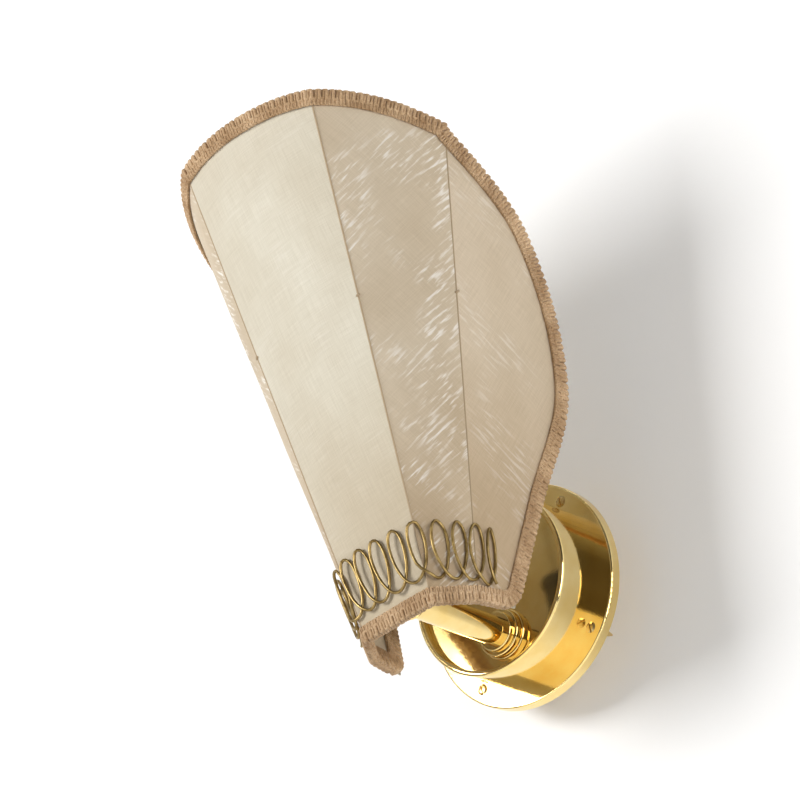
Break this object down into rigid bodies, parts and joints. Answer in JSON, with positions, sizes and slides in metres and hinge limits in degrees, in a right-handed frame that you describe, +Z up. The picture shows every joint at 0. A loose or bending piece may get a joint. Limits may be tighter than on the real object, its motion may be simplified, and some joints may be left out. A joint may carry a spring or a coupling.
{
  "type": "fabric shade wall light",
  "caption": "Wall light: round stepped plate, short turned arm and upright lampholder, with a ribbed petal-shaped cloth shade, braid edges and a band of wire loops.",
  "frame": {"origin": "centre of the wall plate on the wall's surface", "axes": "+Z up, the light stands out from the wall along -Y, +X to the right of someone facing the wall"},
  "size_m": [0.1824, 0.1939, 0.331],
  "materials": {
    "brass": "polished and lacquered",
    "screws": "turned, slotted",
    "aged_brass": "drawn wire, darkened",
    "hardware": "plated",
    "holder": "moulded, dark",
    "insulator": "moulded",
    "cloth": "plain slub weave, lined",
    "braid": "looped gimp braid",
    "frame_wire": "bare, dulled"
  },
  "bodies": {
    "wall_part": {"wall_plate": "brass", "fixing_screws": "screws", "drum": "brass", "drum_screws": "hardware", "dish_plate": "brass", "arm_collar": "brass", "arm_tube": "brass", "arm_washer": "hardware", "arm_nut": "hardware", "arm_end_cap": "brass", "terminal_block": "insulator", "terminal_screws": "hardware", "holder_foot": "brass", "holder_nipple": "hardware", "nipple_nut": "hardware", "ring_nut": "brass", "lampholder_cup": "brass", "lampholder_body": "holder", "socket_shell": "hardware", "centre_contact": "hardware"},
    "shade": {"shade_fabric": "cloth", "edge_braid": "braid", "bottom_braid": "braid", "rib_wires": "frame_wire", "edge_wire": "frame_wire", "bottom_wire": "frame_wire", "fitter_strap": "frame_wire", "wire_loop_band": "aged_brass"}
  },
  "joints": [
    {"name": "shade_turn", "type": "hinge", "parent": "wall_part", "child": "shade", "pos_m": [0, -0.1, -0.01975], "axis": [0, 0, 1], "range_deg": [-10, 10]}
  ]
}
